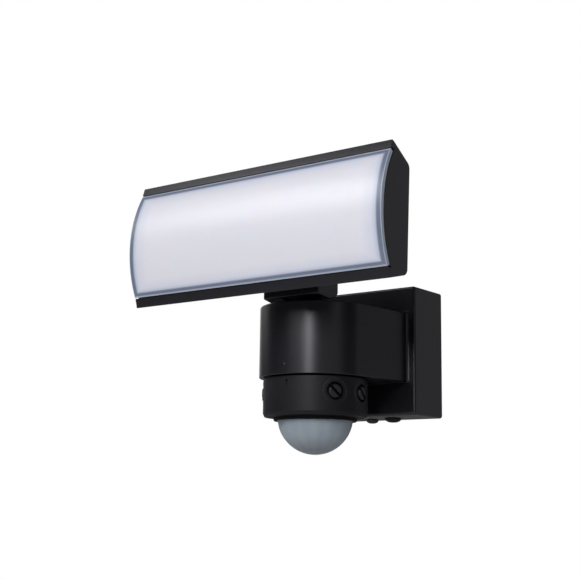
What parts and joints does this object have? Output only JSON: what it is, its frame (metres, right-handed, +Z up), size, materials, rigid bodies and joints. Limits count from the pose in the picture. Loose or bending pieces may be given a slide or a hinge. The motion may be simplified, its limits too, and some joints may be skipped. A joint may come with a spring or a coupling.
{
  "type": "floodlight with motion sensor",
  "caption": "Wall-mounted LED floodlight: a wide lamp head that pans and tilts on a round body, over a motion sensor turret with a dome lens and setting knobs.",
  "frame": {"origin": "middle of the back face of the wall plate, on the wall plane", "axes": "+Y into the wall, so the light faces -Y; +Z up; +X along the lamp head, to the right as seen from in front"},
  "size_m": [0.1772, 0.1387, 0.159],
  "materials": {
    "black_plastic": "fine satin moulding",
    "dark_plastic": "plain moulding",
    "milky_cover": "milky, satin",
    "milky_lens": "milky, thin, faceted inside",
    "white_plastic": "plain white",
    "board_green": "solder mask",
    "blue_plastic": "glossy sleeve",
    "led_phosphor": "clear over yellow phosphor",
    "rubber": "matt",
    "steel": "zinc plated",
    "aluminium": "rolled sheet"
  },
  "bodies": {
    "body": {"body_shell": "black_plastic", "wall_plate": "dark_plastic", "plate_seal": "rubber", "base_lock_screw": "steel", "cable_gland": "rubber", "terminal_block": "white_plastic", "driver_board": "board_green", "driver_transformer": "dark_plastic", "driver_capacitor": "blue_plastic", "sensor_seal": "rubber"},
    "turret": {"pan_turret": "black_plastic", "pan_friction_washer": "dark_plastic", "pan_retaining_clip": "steel"},
    "head": {"head_housing": "black_plastic", "diffuser": "milky_cover", "diffuser_seal": "rubber", "reflector_tray": "white_plastic", "heat_sink_plate": "aluminium", "led_board": "white_plastic", "led_1": "led_phosphor", "led_2": "led_phosphor", "led_3": "led_phosphor", "led_4": "led_phosphor", "led_5": "led_phosphor", "led_6": "led_phosphor", "led_7": "led_phosphor", "led_8": "led_phosphor", "tilt_knuckle": "black_plastic", "tilt_bolt": "steel", "tilt_nut": "steel", "flange_screw_1": "steel", "flange_screw_2": "steel"},
    "sensor": {"sensor_housing": "black_plastic", "sensor_retaining_clip": "steel", "lens_bezel": "black_plastic", "dome_lens": "milky_lens", "sensor_board": "board_green", "motion_sensing_element": "steel", "daylight_sensor": "white_plastic", "knob_seal_1": "rubber", "knob_seal_2": "rubber", "knob_seal_3": "rubber", "dial_potentiometer_1": "blue_plastic", "dial_potentiometer_2": "blue_plastic", "dial_potentiometer_3": "blue_plastic"},
    "knob_1": {"setting_knob_1": "black_plastic"},
    "knob_2": {"setting_knob_2": "black_plastic"},
    "knob_3": {"setting_knob_3": "black_plastic"}
  },
  "joints": [
    {"name": "head_pan", "type": "hinge", "parent": "body", "child": "turret", "pos_m": [0, -0.0709, 0.0228], "axis": [0, 0, 1], "range_deg": [-50, 50]},
    {"name": "head_tilt", "type": "hinge", "parent": "turret", "child": "head", "pos_m": [0, -0.0866, 0.039], "axis": [1, 0, 0], "range_deg": [-45, 25]},
    {"name": "sensor_pan", "type": "hinge", "parent": "body", "child": "sensor", "pos_m": [0, -0.0709, -0.019], "axis": [0, 0, 1], "range_deg": [-90, 90]},
    {"name": "knob_1_turn", "type": "hinge", "parent": "sensor", "child": "knob_1", "pos_m": [-0.02348, -0.08615, -0.0281], "axis": [-0.8387, -0.5446, 0], "range_deg": [-135, 135]},
    {"name": "knob_2_turn", "type": "hinge", "parent": "sensor", "child": "knob_2", "pos_m": [0.02348, -0.08615, -0.0281], "axis": [0.8387, -0.5446, 0], "range_deg": [-135, 135]},
    {"name": "knob_3_turn", "type": "hinge", "parent": "sensor", "child": "knob_3", "pos_m": [0.02785, -0.06797, -0.0281], "axis": [0.9945, 0.1045, 0], "range_deg": [-135, 135]}
  ]
}
